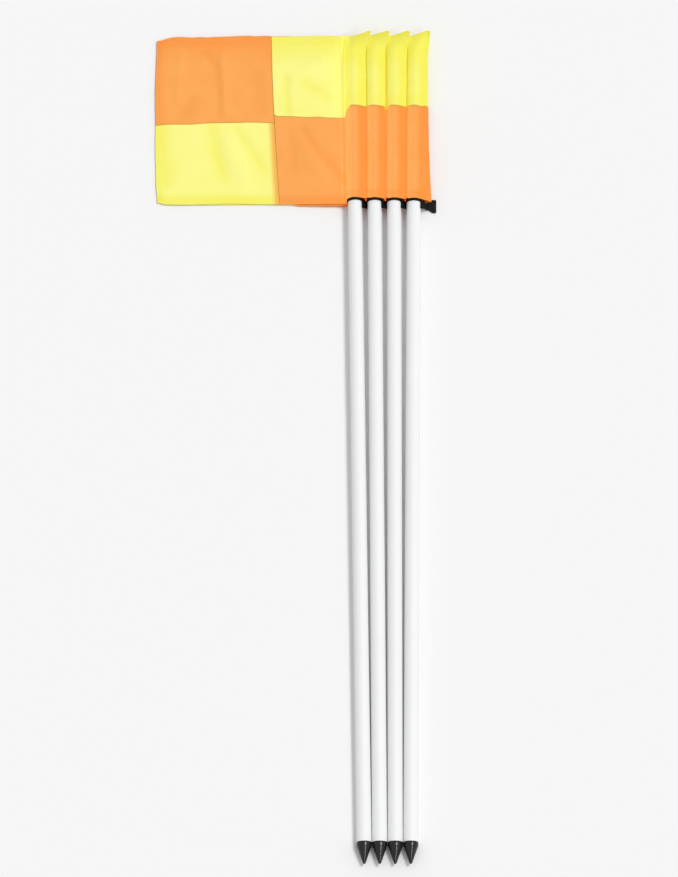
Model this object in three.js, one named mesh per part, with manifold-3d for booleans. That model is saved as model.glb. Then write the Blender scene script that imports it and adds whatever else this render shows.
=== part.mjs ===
// Set of four corner flags for a playing field, laid down side by side as for packing.
//
// Each flag is a hollow white pole with a ground spike at one end and a domed cap at the other,
// a sleeve of sewn cloth over the top third, a banner of four panels in two colours, and a snap-on
// clip whose arm and toe keep the sleeve from riding up. The poles lie along +Y with the cloth at
// the +Y end, the banners lie towards -X, and the flags are stacked from right to left: flag 4 is
// the lowest and flag 1, on the left, has its banner on top of all the others.
//
// Millimetres, +Z up. The origin is the middle of the set's footprint, on the ground.
//
// Every flag is first built in a frame of its own: the spike's tip at the origin, the pole's axis
// along +Y, u to the right and v up across it. It is then turned and lifted to its place.

import * as THREE from 'three';
import Module from 'manifold-3d';
import { mergeVertices } from 'three/addons/utils/BufferGeometryUtils.js';

const wasm = await Module();
wasm.setup();

// Driving dimensions: the set
const FLAG_COUNT = 4;
const SPIKE_GAP = 0.5;          // between neighbouring poles at the spikes
const HEM_PITCH = 34.5;         // between neighbouring pole axes where the sleeves end
const DRAW_LENGTH = 200;        // a flag draws out this far without catching on the next one
const SEAT_GAP = 0.3;           // between faces that touch
const GROUND_GAP = 0.1;         // under the toes of the clips

// Driving dimensions: pole, cap and ground spike
const POLE_DIAMETER = 25;
const POLE_WALL = 2;
const POLE_LENGTH = 1429;
const PLUG_CLEARANCE = 0.3;     // round the shanks that go into the pole
const CAP_RISE = 8;
const CAP_SHANK = 14;
const SPIKE_CONE = 28;
const SPIKE_COLLAR = 8;
const SPIKE_SHOULDER = 0.8;     // the cone starts this much inside the collar
const SPIKE_TIP_RADIUS = 2;
const SPIKE_SHANK = 45;
const SHANK_CHAMFER = 1.5;

// Driving dimensions: cloth
const CLOTH_HEIGHT = 328;       // hem to top seam, along the pole
const CROWN_ROOM = 32.4;        // from the cap's top to the top seam of the sleeve
const OUTER_WIDTH = 205;
const INNER_WIDTH = 125.5;
const ORANGE_HEIGHT = 171.5;    // the yellow panel fills the rest of its column
const CLOTH_THICKNESS = 0.8;
const LAYER_GAP = 0.3;
const STITCH_RISE = 4.8;        // the lowest cloth climbs this far from the seam to the stitching
const HEM_RISE = 2.5;           // the hem runs this much nearer the top at the banner's free edge
const FOLD_HEIGHT = 2.4;
const FOLD_WIDTH = 15;

// Driving dimensions: sleeve, measured across the pole from its axis
const SLEEVE_SLIP = 0.4;        // between the pole and the cloth round it
const STITCH_REACH = 16.2;      // to the stitching, on the banner's side
const SLACK_GAP = 0.8;          // between the loose fold on the other side and the next sleeve
const FREE_SLACK_REACH = 23.5;  // to the same fold where no flag lies beside it
const FREE_SLACK_DROP = 11;
const HEM_FLARE = 7;            // the free fold stands out further at the hem
const FOLD_RADIUS = 0.3;
const CROWN_LEFT_REACH = 14;
const CROWN_LEFT_DROP = 9;
const CROWN_PEAK_REACH = 23;
const CROWN_PEAK_RISE = 10;
const CROWN_SWELL = 0.8;        // of each side of the shut seam at its middle
const SLEEVE_SEAM_RISE = 10;    // the sleeve's colours meet this far above the panels' seam

// Driving dimensions: clip
const RING_SLIP = 0.25;
const RING_WALL = 1.4;
const RING_HEIGHT = 6.5;
const RING_BELOW_HEM = 3;
const ARM_BELOW_HEM = 1.2;
const ARM_THICKNESS = 1.6;
const ARM_WIDTH = 13;
const ARM_ELBOW_REACH = 19.5;   // from the pole's axis to the arm's elbow, and down to it
const ARM_ELBOW_DROP = 10.5;
const ARM_BEND_REACH = 28.5;    // from the pole's axis to where the arm meets the ground
const TOE_REACH = 32;           // from the pole's axis to the toe's near edge
const TOE_WIDTH = 9;
const TOE_LENGTH = 26;
const TOE_BELOW_HEM = 15;
const TOE_CORNER = 1.5;

// Angles round the pole, in degrees from +u towards +v
const RING_START = -55;
const RING_END = 215;
const ARM_ROOT = -5;
const SLACK_LEAN = 150;         // where the loose fold lies on the next sleeve

// How finely round shapes are drawn
const ROUND_SIDES = 28;
const FOLD_COLUMNS = 16;
const FOLD_ROWS = 12;
const CROWN_STEPS = 3;
const OVER_STEPS = 16;
const UNDER_STEPS = 4;
const EDGE_STEPS = 3;

// Soft folds of the top banner. Each row is one ridge from start to end: x and y as shares of the
// banner's width from the stitching and of its height from the hem, then shares of FOLD_HEIGHT and
// of FOLD_WIDTH.
const FOLD_SHARES = [
  [0.80, 0.56, 0.79, 0.97, 0.80, 0.8],
  [0.60, 0.60, 0.61, 0.95, 0.55, 1.9],
  [0.92, 0.62, 0.90, 0.95, 0.45, 1.2],
  [0.24, 0.42, 0.05, 0.06, 1.00, 1.1],
  [0.30, 0.08, 0.22, 0.40, 0.50, 1.3],
  [0.20, 0.60, 0.21, 0.94, 0.60, 1.2],
  [0.08, 0.58, 0.09, 0.92, 0.70, 0.9],
  [0.88, 0.08, 0.90, 0.42, 0.50, 1.4],
  [0.66, 0.10, 0.72, 0.40, 0.60, 1.6],
  [0.48, 0.08, 0.47, 0.42, 0.45, 1.2],
];

// Places along the pole, from the spike's tip
const poleRadius = POLE_DIAMETER / 2;
const boreRadius = poleRadius - POLE_WALL;
const plugRadius = boreRadius - PLUG_CLEARANCE;
const collarEnd = SPIKE_CONE + SPIKE_COLLAR;
const poleStart = collarEnd + SEAT_GAP;
const poleEnd = poleStart + POLE_LENGTH;
const capBase = poleEnd + SEAT_GAP;
const capTop = capBase + CAP_RISE;
const topSeam = capTop + CROWN_ROOM;
const hem = topSeam - CLOTH_HEIGHT;
const ringStart = hem - RING_BELOW_HEM;
const ringEnd = ringStart + RING_HEIGHT;
const sleeveStart = ringEnd + SEAT_GAP;
const crownStart = capBase;     // the sleeve starts to close here
const outerSeam = topSeam - ORANGE_HEIGHT;
const innerSeam = hem + ORANGE_HEIGHT;
const sleeveSeam = innerSeam + SLEEVE_SEAM_RISE;

// How the flags stand to each other
const spikePitch = POLE_DIAMETER + SPIKE_GAP;
const layerPitch = CLOTH_THICKNESS + LAYER_GAP;
const sleeveRadius = poleRadius + SLEEVE_SLIP;
const sleeveDepth = sleeveRadius + CLOTH_THICKNESS;

// A flag's place in the row, from -1.5 for flag 1 to 1.5 for flag 4
const placeInRow = (flag) => flag - (FLAG_COUNT + 1) / 2;
// How far a flag's pole turns away from +Y, in radians
const fanTurn = (flag) => -Math.atan2(placeInRow(flag) * (HEM_PITCH - spikePitch), hem);
// How many banners lie under this flag
const layersBelow = (flag) => FLAG_COUNT - flag;
// Height of a flag's own banner where it lies flat, and of its stitching at the sleeve
const banner = (flag) => layersBelow(flag) * layerPitch;
const stitch = (flag) => banner(flag) + STITCH_RISE;
// Height of the pole's axis at the hem
const axisHeight = (flag) => stitch(flag) + sleeveDepth;
// How far a pole climbs from the spike's collar to its hem, in radians
const poleClimb = (flag) => Math.asin((axisHeight(flag) - poleRadius) / (hem - SPIKE_CONE));
const isFree = (flag) => flag === FLAG_COUNT;

// Finishes
const whitePlastic = { color: 0xf0f1f2, roughness: 0.38, metalness: 0 };
const blackPlastic = { color: 0x1f2120, roughness: 0.32, metalness: 0 };
const orangeCloth = { color: 0xfda455, roughness: 0.78, metalness: 0 };
const yellowCloth = { color: 0xfcf489, roughness: 0.78, metalness: 0 };

// Turns any closed geometry into one with shared corners and faces that look outwards
function closed(geometry) {
  const plain = new THREE.BufferGeometry();
  plain.setAttribute('position', geometry.getAttribute('position'));
  plain.setIndex(geometry.getIndex());
  const merged = mergeVertices(plain);
  const index = merged.getIndex().array;
  const [a, b, c] = [new THREE.Vector3(), new THREE.Vector3(), new THREE.Vector3()];
  const position = merged.getAttribute('position');
  const kept = [];
  let volume = 0;
  for (let i = 0; i < index.length; i += 3) {
    const [p, q, r] = [index[i], index[i + 1], index[i + 2]];
    if (p === q || q === r || r === p) continue;
    kept.push(p, q, r);
    a.fromBufferAttribute(position, p);
    b.fromBufferAttribute(position, q);
    c.fromBufferAttribute(position, r);
    volume += a.dot(b.cross(c));
  }
  merged.setIndex(volume < 0 ? kept.reverse() : kept);
  return merged;
}

// A geometry as a solid that can be joined to another, and back
function toSolid(geometry) {
  const shape = closed(geometry);
  const vertProperties = new Float32Array(shape.getAttribute('position').array);
  const triVerts = new Uint32Array(shape.getIndex().array);
  return new wasm.Manifold(new wasm.Mesh({ numProp: 3, vertProperties, triVerts }));
}

function fromSolid(solid) {
  const mesh = solid.getMesh();
  const geometry = new THREE.BufferGeometry();
  geometry.setAttribute('position', new THREE.BufferAttribute(mesh.vertProperties, 3));
  geometry.setIndex(new THREE.BufferAttribute(mesh.triVerts, 1));
  return geometry;
}

// A named piece of the set
function piece(name, geometry, finish) {
  const mesh = new THREE.Mesh(closed(geometry), new THREE.MeshStandardMaterial(finish));
  mesh.name = name;
  return mesh;
}

// A shape turned about the pole's axis from [radius, place along the pole] pairs
function turned(profile) {
  const points = profile.map(([radius, along]) => new THREE.Vector2(radius, along));
  return new THREE.LatheGeometry(points, ROUND_SIDES);
}

// A flat outline across the pole, carried along it from start to end
function alongPole(shape, start, end) {
  const geometry = new THREE.ExtrudeGeometry(shape, { depth: end - start, bevelEnabled: false });
  geometry.rotateX(Math.PI / 2);
  geometry.translate(0, end, 0);
  return geometry;
}

// Pole: an extruded plastic tube, open at both ends
function pole() {
  return turned([
    [boreRadius, poleStart],
    [poleRadius, poleStart],
    [poleRadius, poleEnd],
    [boreRadius, poleEnd],
    [boreRadius, poleStart],
  ]);
}

// Cap: a shallow dome on a shank that plugs the tube's top
function poleCap() {
  const dome = [0.25, 0.5, 0.75].map((share) => {
    const angle = (share * Math.PI) / 2;
    return [poleRadius * Math.cos(angle), capBase + CAP_RISE * Math.sin(angle)];
  });
  const shankEnd = poleEnd - CAP_SHANK;
  return turned([
    [0, shankEnd],
    [plugRadius - SHANK_CHAMFER, shankEnd],
    [plugRadius, shankEnd + SHANK_CHAMFER],
    [plugRadius, capBase],
    [poleRadius, capBase],
    ...dome,
    [0, capTop],
  ]);
}

// Ground spike: a blunt cone and a collar as wide as the pole, on a shank that plugs the tube
function groundSpike() {
  const coneRadius = poleRadius - SPIKE_SHOULDER;
  const slope = Math.atan2(coneRadius - SPIKE_TIP_RADIUS, SPIKE_CONE - SPIKE_TIP_RADIUS);
  const tip = [0.35, 0.7, 1].map((share) => {
    const angle = share * (Math.PI / 2 - slope);
    const along = SPIKE_TIP_RADIUS * (1 - Math.cos(angle));
    return [SPIKE_TIP_RADIUS * Math.sin(angle), along];
  });
  const shankEnd = poleStart + SPIKE_SHANK;
  return turned([
    [0, 0],
    ...tip,
    [coneRadius, SPIKE_CONE],
    [poleRadius, SPIKE_CONE + SPIKE_SHOULDER],
    [poleRadius, collarEnd],
    [plugRadius, collarEnd],
    [plugRadius, shankEnd - SHANK_CHAMFER],
    [plugRadius - SHANK_CHAMFER, shankEnd],
    [0, shankEnd],
  ]);
}

// Clip: a spring ring, open below, with a flat arm that runs down to the ground on the side away
// from the banner, and a long toe across the arm's end
function flagClip() {
  const inner = poleRadius + RING_SLIP;
  const outer = inner + RING_WALL;
  const start = THREE.MathUtils.degToRad(RING_START);
  const end = THREE.MathUtils.degToRad(RING_END);
  const band = new THREE.Shape();
  band.absarc(0, 0, outer, start, end, false);
  band.absarc(0, 0, inner, end, start, true);

  const root = THREE.MathUtils.degToRad(ARM_ROOT);
  const rootRadius = inner + RING_WALL / 2;
  const groundLine = GROUND_GAP + ARM_THICKNESS / 2 - axisHeight(FLAG_COUNT);
  const arm = strip([
    [rootRadius * Math.cos(root), rootRadius * Math.sin(root)],
    [ARM_ELBOW_REACH, -ARM_ELBOW_DROP],
    [ARM_BEND_REACH, groundLine],
    [TOE_REACH + TOE_WIDTH / 2, groundLine],
  ], ARM_THICKNESS);

  const toeBottom = groundLine - ARM_THICKNESS / 2;
  const toeTop = groundLine + ARM_THICKNESS / 2;
  const toeEnd = TOE_REACH + TOE_WIDTH;
  const toeStart = hem - TOE_BELOW_HEM;
  const toe = new THREE.Shape();
  toe.moveTo(TOE_REACH, toeStart + TOE_CORNER);
  toe.lineTo(TOE_REACH + TOE_CORNER, toeStart);
  toe.lineTo(toeEnd - TOE_CORNER, toeStart);
  toe.lineTo(toeEnd, toeStart + TOE_CORNER);
  toe.lineTo(toeEnd, toeStart + TOE_LENGTH - TOE_CORNER);
  toe.lineTo(toeEnd - TOE_CORNER, toeStart + TOE_LENGTH);
  toe.lineTo(TOE_REACH + TOE_CORNER, toeStart + TOE_LENGTH);
  toe.lineTo(TOE_REACH, toeStart + TOE_LENGTH - TOE_CORNER);
  toe.closePath();
  const toePlate = new THREE.ExtrudeGeometry(toe, { depth: toeTop - toeBottom, bevelEnabled: false });
  toePlate.translate(0, 0, toeBottom);

  const armEnd = hem - ARM_BELOW_HEM;
  const ring = toSolid(alongPole(band, ringStart, ringEnd));
  const armPlate = toSolid(alongPole(arm, armEnd - ARM_WIDTH, armEnd));
  return fromSolid(ring.add(armPlate).add(toSolid(toePlate)));
}

// The outline of a strip of even thickness along a bent line
function strip(line, thickness) {
  const points = line.map(([u, v]) => new THREE.Vector2(u, v));
  const side = (from, to) => {
    const along = to.clone().sub(from).normalize();
    return new THREE.Vector2(-along.y, along.x);
  };
  const left = [];
  const right = [];
  points.forEach((point, i) => {
    const before = i > 0 ? side(points[i - 1], point) : side(point, points[i + 1]);
    const after = i < points.length - 1 ? side(point, points[i + 1]) : before;
    const across = before.clone().add(after).normalize();
    const reach = thickness / 2 / across.dot(before);
    left.push(point.clone().addScaledVector(across, reach));
    right.push(point.clone().addScaledVector(across, -reach));
  });
  return new THREE.Shape([...right, ...left.reverse()]);
}

// How far out and up the loose fold of a sleeve lies at one place along the pole. On the last flag
// it hangs free. On the others it lies on the next flag's sleeve, far enough off to pass it when
// the flag is drawn out along its own pole, which closes in on the next one by their fan angle.
function slackFold(flag, along) {
  if (isFree(flag)) {
    const share = (along - hem) / (crownStart - hem);
    const flare = Math.max(HEM_FLARE * (1 - share), 0);
    return [FREE_SLACK_REACH + flare, -FREE_SLACK_DROP];
  }
  const fromCone = along - SPIKE_CONE;
  const nextReach = spikePitch + ((HEM_PITCH - spikePitch) * fromCone) / hem;
  const nextDrop = (layerPitch * fromCone) / (hem - SPIKE_CONE);
  const approach = DRAW_LENGTH * Math.sin(fanTurn(flag) - fanTurn(flag + 1));
  const lean = THREE.MathUtils.degToRad(SLACK_LEAN);
  const away = sleeveDepth + CLOTH_THICKNESS + FOLD_RADIUS + SLACK_GAP;
  return [nextReach - approach + away * Math.cos(lean), away * Math.sin(lean) - nextDrop];
}

// A sleeve's open section is drawn round three circles, each [u, v, radius]: the pole, the fold at
// the stitching and the loose fold.
function openRounds(flag, along) {
  return [
    [0, 0, sleeveRadius],
    [CLOTH_THICKNESS - STITCH_REACH, FOLD_RADIUS - sleeveRadius, FOLD_RADIUS],
    [...slackFold(flag, along), FOLD_RADIUS],
  ];
}

// The direction, in radians, in which a line drawn round two circles touches both of them
function touching([u0, v0, radius0], [u1, v1, radius1]) {
  const apart = Math.hypot(u1 - u0, v1 - v0);
  return Math.atan2(v1 - v0, u1 - u0) - Math.acos((radius0 - radius1) / apart);
}

// Points on a stretch of a circle from one direction round to another, set out by grow
function arcPoints([u, v, radius], start, end, steps, grow) {
  const whole = 2 * Math.PI;
  const sweep = (((end - start) % whole) + whole) % whole;
  return Array.from({ length: steps + 1 }, (_, i) => {
    const angle = start + (sweep * i) / steps;
    return [u + (radius + grow) * Math.cos(angle), v + (radius + grow) * Math.sin(angle)];
  });
}

// The open section: over the pole, round the stitching, under the pole, round the loose fold
function openSection(flag, along, grow) {
  const [round, stitched, loose] = openRounds(flag, along);
  const toStitch = touching(round, stitched);
  const fromStitch = touching(stitched, round);
  const toLoose = touching(round, loose);
  const fromLoose = touching(loose, round);
  return [
    ...arcPoints(round, fromLoose, toStitch, OVER_STEPS, grow),
    ...arcPoints(stitched, toStitch, fromStitch, EDGE_STEPS, grow),
    ...arcPoints(round, fromStitch, toLoose, UNDER_STEPS, grow),
    ...arcPoints(loose, toLoose, fromLoose, EDGE_STEPS, grow),
  ];
}

// The same points at the top seam, where the sleeve is pressed flat and sewn shut on a slant: the
// low end by the stitching, the high end over the loose fold
function shutSection(grow) {
  const low = [-CROWN_LEFT_REACH, -CROWN_LEFT_DROP, FOLD_RADIUS];
  const high = [CROWN_PEAK_REACH, CROWN_PEAK_RISE, FOLD_RADIUS];
  const slant = Math.atan2(high[1] - low[1], high[0] - low[0]);
  const [above, below] = [slant + Math.PI / 2, slant - Math.PI / 2];
  // As many points as an arc of that many steps has, between the two ends and swelling outwards
  const between = (start, end, steps, outwards) => Array.from({ length: steps + 1 }, (_, i) => {
    const share = (i + 1) / (steps + 2);
    const swell = CROWN_SWELL * Math.sin(Math.PI * share);
    return [
      THREE.MathUtils.lerp(start[0], end[0], share) + swell * Math.cos(outwards),
      THREE.MathUtils.lerp(start[1], end[1], share) + swell * Math.sin(outwards),
    ];
  });
  const lowEnd = arcPoints(low, above, below, EDGE_STEPS, grow);
  const highEnd = arcPoints(high, below, above, EDGE_STEPS, grow);
  return [
    ...between(highEnd.at(-1), lowEnd[0], OVER_STEPS, above),
    ...lowEnd,
    ...between(lowEnd.at(-1), highEnd[0], UNDER_STEPS, below),
    ...highEnd,
  ];
}

// A sleeve's section at one place along the pole
function sleeveSection(flag, along, grow) {
  const open = openSection(flag, along, grow);
  if (along <= crownStart) return open;
  const shut = shutSection(grow);
  const share = (along - crownStart) / (topSeam - crownStart);
  return open.map(([u, v], i) => [
    THREE.MathUtils.lerp(u, shut[i][0], share),
    THREE.MathUtils.lerp(v, shut[i][1], share),
  ]);
}

// Cloth round the pole through the given places. The far end is open, or shut at the top seam.
function sleeve(flag, places, shut) {
  const positions = [];
  const index = [];
  const around = sleeveSection(flag, hem, 0).length;
  const ring = (along, grow, lift) => {
    const first = positions.length / 3;
    sleeveSection(flag, along, grow).forEach(([u, v]) => positions.push(u, along - lift, v));
    return first;
  };
  const join = (from, to) => {
    for (let i = 0; i < around; i += 1) {
      const next = (i + 1) % around;
      index.push(from + i, to + i, to + next, from + i, to + next, from + next);
    }
  };
  // The shut end is filled from the tip of its low end, so that no triangle lies along a side
  const tip = OVER_STEPS + EDGE_STEPS - 1;
  const fill = (from, outward) => {
    for (let i = 1; i < around - 1; i += 1) {
      const [here, next] = [(tip + i) % around, (tip + i + 1) % around];
      const corners = [from + tip, from + next, from + here];
      index.push(...(outward ? corners : corners.reverse()));
    }
  };
  const last = places.length - 1;
  const outer = places.map((along) => ring(along, CLOTH_THICKNESS, 0));
  const inner = places.map((along, i) => ring(along, 0, shut && i === last ? CLOTH_THICKNESS : 0));
  for (let i = 0; i < last; i += 1) {
    join(outer[i], outer[i + 1]);
    join(inner[i + 1], inner[i]);
  }
  join(inner[0], outer[0]);
  if (shut) {
    fill(outer[last], true);
    fill(inner[last], false);
  } else {
    join(outer[last], inner[last]);
  }
  const geometry = new THREE.BufferGeometry();
  geometry.setAttribute('position', new THREE.Float32BufferAttribute(positions, 3));
  geometry.setIndex(index);
  return geometry;
}

function lowerSleeve(flag) {
  return sleeve(flag, [sleeveStart, sleeveSeam - SEAT_GAP], false);
}

function upperSleeve(flag) {
  const places = [sleeveSeam, crownStart];
  for (let i = 1; i <= CROWN_STEPS; i += 1) {
    places.push(THREE.MathUtils.lerp(crownStart, topSeam, i / CROWN_STEPS));
  }
  return sleeve(flag, places, true);
}

// Height of the top banner's folds above its flat lie, at x from the stitching and y from the hem
function foldLift(x, y) {
  const width = OUTER_WIDTH + INNER_WIDTH;
  let lift = 0;
  for (const [x0, y0, x1, y1, heightShare, widthShare] of FOLD_SHARES) {
    const start = new THREE.Vector3(-x0 * width, y0 * CLOTH_HEIGHT, 0);
    const end = new THREE.Vector3(-x1 * width, y1 * CLOTH_HEIGHT, 0);
    const here = new THREE.Vector3(x, y, 0);
    const nearest = new THREE.Line3(start, end).closestPointToPoint(here, true, new THREE.Vector3());
    const away = here.distanceTo(nearest) / (widthShare * FOLD_WIDTH);
    lift = Math.max(lift, heightShare * FOLD_HEIGHT * Math.exp(-away * away));
  }
  return lift;
}

// A plate of cloth between four corners, each [x, y, height of its underside], going round from
// the stitching's low end. folds gives how far the cloth stands off its flat lie at x and y.
function clothPlate(corners, columns, rows, folds) {
  const [low, lowFar, highFar, high] = corners.map((corner) => new THREE.Vector3(...corner));
  const positions = [];
  const index = [];
  const wide = columns + 1;
  const layer = wide * (rows + 1);
  for (const thickness of [0, CLOTH_THICKNESS]) {
    for (let row = 0; row <= rows; row += 1) {
      const start = low.clone().lerp(high, row / rows);
      const end = lowFar.clone().lerp(highFar, row / rows);
      for (let column = 0; column <= columns; column += 1) {
        const { x, y, z } = start.clone().lerp(end, column / columns);
        positions.push(x, y, z + folds(x, y) + thickness);
      }
    }
  }
  const quad = (a, b, c, d) => index.push(a, b, c, a, c, d);
  for (let row = 0; row < rows; row += 1) {
    for (let column = 0; column < columns; column += 1) {
      const at = row * wide + column;
      quad(at, at + wide, at + wide + 1, at + 1);
      quad(layer + at, layer + at + 1, layer + at + wide + 1, layer + at + wide);
    }
    const [near, far] = [row * wide, row * wide + columns];
    quad(near, near + layer, near + layer + wide, near + wide);
    quad(far, far + wide, far + wide + layer, far + layer);
  }
  for (let column = 0; column < columns; column += 1) {
    const [bottom, top] = [column, rows * wide + column];
    quad(bottom, bottom + 1, bottom + 1 + layer, bottom + layer);
    quad(top, top + layer, top + layer + 1, top + 1);
  }
  const geometry = new THREE.BufferGeometry();
  geometry.setAttribute('position', new THREE.Float32BufferAttribute(positions, 3));
  geometry.setIndex(index);
  return geometry;
}

// The four panels of a banner, on the ground's axes, x from the middle of its stitching and y from
// the hem. The stitched edge follows the flag's own pole, the seam and the free edge follow the
// first flag's pole, so that all banners lie in one neat pile.
function bannerPanels(flag) {
  const width = INNER_WIDTH + OUTER_WIDTH;
  const corner = (reach, up) => {
    const lean = reach === 0 ? fanTurn(flag) : fanTurn(1);
    const x = -reach - (up - CLOTH_HEIGHT / 2) * Math.tan(lean);
    const y = up + HEM_RISE * (reach / width) * (1 - up / CLOTH_HEIGHT);
    const climb = Math.max(1 - reach / INNER_WIDTH, 0);
    return [x, y, THREE.MathUtils.lerp(banner(flag), stitch(flag), climb)];
  };
  const isTop = flag === 1;
  const [columns, rows] = isTop ? [FOLD_COLUMNS, FOLD_ROWS] : [1, 1];
  const folds = isTop ? foldLift : () => 0;
  const plate = (near, far, bottom, top) => clothPlate(
    [corner(near, bottom), corner(far, bottom), corner(far, top), corner(near, top)],
    columns,
    rows,
    folds,
  );
  const outer = [INNER_WIDTH + SEAT_GAP, width];
  const inner = [0, INNER_WIDTH];
  const outerSplit = outerSeam - hem;
  const innerSplit = innerSeam - hem;
  const upper = (split) => [split, CLOTH_HEIGHT];
  const lower = (split) => [0, split - SEAT_GAP];
  return [
    piece(`outer_upper_panel_${flag}`, plate(...outer, ...upper(outerSplit)), orangeCloth),
    piece(`outer_lower_panel_${flag}`, plate(...outer, ...lower(outerSplit)), yellowCloth),
    piece(`inner_upper_panel_${flag}`, plate(...inner, ...upper(innerSplit)), yellowCloth),
    piece(`inner_lower_panel_${flag}`, plate(...inner, ...lower(innerSplit)), orangeCloth),
  ];
}

const upwards = new THREE.Vector3(0, 0, 1);

// One whole flag in its place: the pole and what is on it climb with the pole, the banner lies flat
function cornerFlag(flag) {
  const turn = fanTurn(flag);
  const onPole = new THREE.Group();
  const clip = piece(`flag_clip_${flag}`, flagClip(), blackPlastic);
  const extraDrop = axisHeight(flag) - axisHeight(FLAG_COUNT);
  clip.rotation.y = Math.asin(extraDrop / (TOE_REACH + TOE_WIDTH));
  onPole.add(
    piece(`pole_${flag}`, pole(), whitePlastic),
    piece(`pole_cap_${flag}`, poleCap(), whitePlastic),
    piece(`ground_spike_${flag}`, groundSpike(), blackPlastic),
    clip,
    piece(`sleeve_lower_${flag}`, lowerSleeve(flag), orangeCloth),
    piece(`sleeve_upper_${flag}`, upperSleeve(flag), yellowCloth),
  );
  onPole.rotation.set(poleClimb(flag), 0, turn, 'ZYX');
  onPole.position.set(placeInRow(flag) * spikePitch, 0, poleRadius);
  onPole.translateY(-SPIKE_CONE);

  const cloth = new THREE.Group();
  cloth.add(...bannerPanels(flag));
  const reach = STITCH_REACH + SEAT_GAP + CLOTH_THICKNESS;
  const middle = new THREE.Vector3(-reach, hem + CLOTH_HEIGHT / 2 - SPIKE_CONE, 0);
  middle.applyAxisAngle(upwards, turn);
  cloth.position.set(placeInRow(flag) * spikePitch + middle.x, middle.y - CLOTH_HEIGHT / 2, 0);

  const whole = new THREE.Group();
  whole.add(onPole, cloth);
  return whole;
}

const flagSet = new THREE.Group();
for (let flag = 1; flag <= FLAG_COUNT; flag += 1) flagSet.add(cornerFlag(flag));

// The origin goes to the middle of the footprint
const footprint = new THREE.Box3().setFromObject(flagSet, true);
const centre = footprint.getCenter(new THREE.Vector3());
flagSet.position.set(-centre.x, -centre.y, -footprint.min.z);

export default flagSet;
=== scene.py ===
# %% [markdown]
# # A set of four corner flags
#
# A corner flag is a white plastic pole with a black spike for the ground, a clip, and a chequered
# banner whose sleeve slips over the pole. Here four of them lie in a row, with the banners in one
# pile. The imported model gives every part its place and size, and this lesson gives it its real
# surface: turned plastic, moulded plastic, and sewn cloth.

import bpy
import mathutils
import numpy as np
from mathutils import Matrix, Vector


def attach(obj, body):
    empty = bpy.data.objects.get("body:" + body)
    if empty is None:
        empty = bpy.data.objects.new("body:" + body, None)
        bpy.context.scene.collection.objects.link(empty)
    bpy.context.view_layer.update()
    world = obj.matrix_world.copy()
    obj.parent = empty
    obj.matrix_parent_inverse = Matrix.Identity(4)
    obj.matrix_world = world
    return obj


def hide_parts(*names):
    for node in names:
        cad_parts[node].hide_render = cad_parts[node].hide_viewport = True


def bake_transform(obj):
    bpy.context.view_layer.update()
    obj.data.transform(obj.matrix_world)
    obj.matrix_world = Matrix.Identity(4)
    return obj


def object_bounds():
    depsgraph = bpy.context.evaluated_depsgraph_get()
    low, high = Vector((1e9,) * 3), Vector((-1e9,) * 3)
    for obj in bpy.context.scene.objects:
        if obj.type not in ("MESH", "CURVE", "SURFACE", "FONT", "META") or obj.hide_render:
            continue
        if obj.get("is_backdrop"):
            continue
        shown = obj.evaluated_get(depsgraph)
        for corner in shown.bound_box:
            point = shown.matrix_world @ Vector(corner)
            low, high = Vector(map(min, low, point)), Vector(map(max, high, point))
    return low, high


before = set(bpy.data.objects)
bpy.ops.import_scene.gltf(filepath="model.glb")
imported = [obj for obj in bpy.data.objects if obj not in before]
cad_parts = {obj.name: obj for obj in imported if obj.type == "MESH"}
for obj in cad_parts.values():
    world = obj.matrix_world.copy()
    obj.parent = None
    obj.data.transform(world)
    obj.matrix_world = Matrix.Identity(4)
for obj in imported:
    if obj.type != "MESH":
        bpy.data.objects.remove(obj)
packed_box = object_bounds()

# %% [markdown]
# ## Read the places out of the model
#
# Every flag lies at its own small angle, so its parts are drawn in axes of its own: right, along
# the pole, and up, with the tip of the spike at nought. The long way through the points of the
# packed pole is the pole's axis.

# %% Axes of each flag
MM = 0.001
FLAGS = (1, 2, 3, 4)
TOP_FLAG = FLAGS[0]
FREE_FLAG = FLAGS[-1]
SAME_PLACE = 0.05 * MM


def node_points(node):
    """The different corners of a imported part, one row of x, y, z each."""
    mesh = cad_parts[node].data
    points = np.empty(len(mesh.vertices) * 3, np.float32)
    mesh.vertices.foreach_get("co", points)
    return np.unique(np.round(points.reshape(-1, 3).astype(float), 6), axis=0)


def flag_axes(flag):
    """Tip of the spike, and the directions right, along and up as rows.

    Along is the first singular vector of the pole's points about their middle. Right is square to
    it and level, and up is square to both.
    """
    tube = node_points(f"pole_{flag}")
    middle = tube.mean(axis=0)
    along = np.linalg.svd(tube - middle, full_matrices=False)[2][0]
    along = along * np.sign(along[1])
    right = np.cross(along, (0.0, 0.0, 1.0))
    right = right / np.linalg.norm(right)
    up = np.cross(right, along)
    spike = node_points(f"ground_spike_{flag}")
    tip = middle + along * ((spike - middle) @ along).min()
    return tip, np.array([right, along, up])


AXES = {flag: flag_axes(flag) for flag in FLAGS}


def placed(flag, points):
    """Points given as right, along and up in a flag's axes, in the model's frame."""
    tip, directions = AXES[flag]
    return tip + points @ directions


def in_axes(flag, points):
    """Points of the model's frame in a flag's axes."""
    tip, directions = AXES[flag]
    return (points - tip) @ directions.T


def reach_and_span(name):
    """The least and greatest radius of a part of the top flag, and its first and last place."""
    points = in_axes(TOP_FLAG, node_points(f"{name}_{TOP_FLAG}"))
    radius = np.hypot(points[:, 0], points[:, 2])
    return radius.min(), radius.max(), points[:, 1].min(), points[:, 1].max()


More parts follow.
